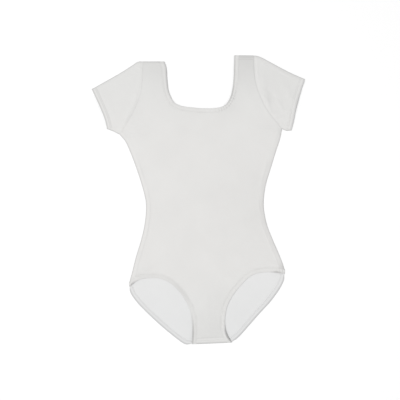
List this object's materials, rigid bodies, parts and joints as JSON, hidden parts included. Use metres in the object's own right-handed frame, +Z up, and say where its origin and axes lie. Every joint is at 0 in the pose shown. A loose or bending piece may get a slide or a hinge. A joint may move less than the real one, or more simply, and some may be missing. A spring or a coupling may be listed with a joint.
{
  "type": "leotard",
  "caption": "Short-sleeved scoop-neck leotard in white stretch jersey, laid flat on its back, with banded neck and leg edges.",
  "frame": {"origin": "middle of the garment's outline, on the surface that it lies on", "axes": "+Y towards the neck, +X to the right as it is looked down on, +Z up from the surface"},
  "size_m": [0.4904, 0.6646, 0.0069],
  "materials": {
    "jersey": "matte",
    "band": "matte"
  },
  "bodies": {
    "root": {"front_panel": "jersey", "back_panel": "jersey", "sleeve_left": "jersey", "sleeve_right": "jersey", "neck_band": "band", "leg_band_left": "band", "leg_band_right": "band"}
  },
  "joints": []
}
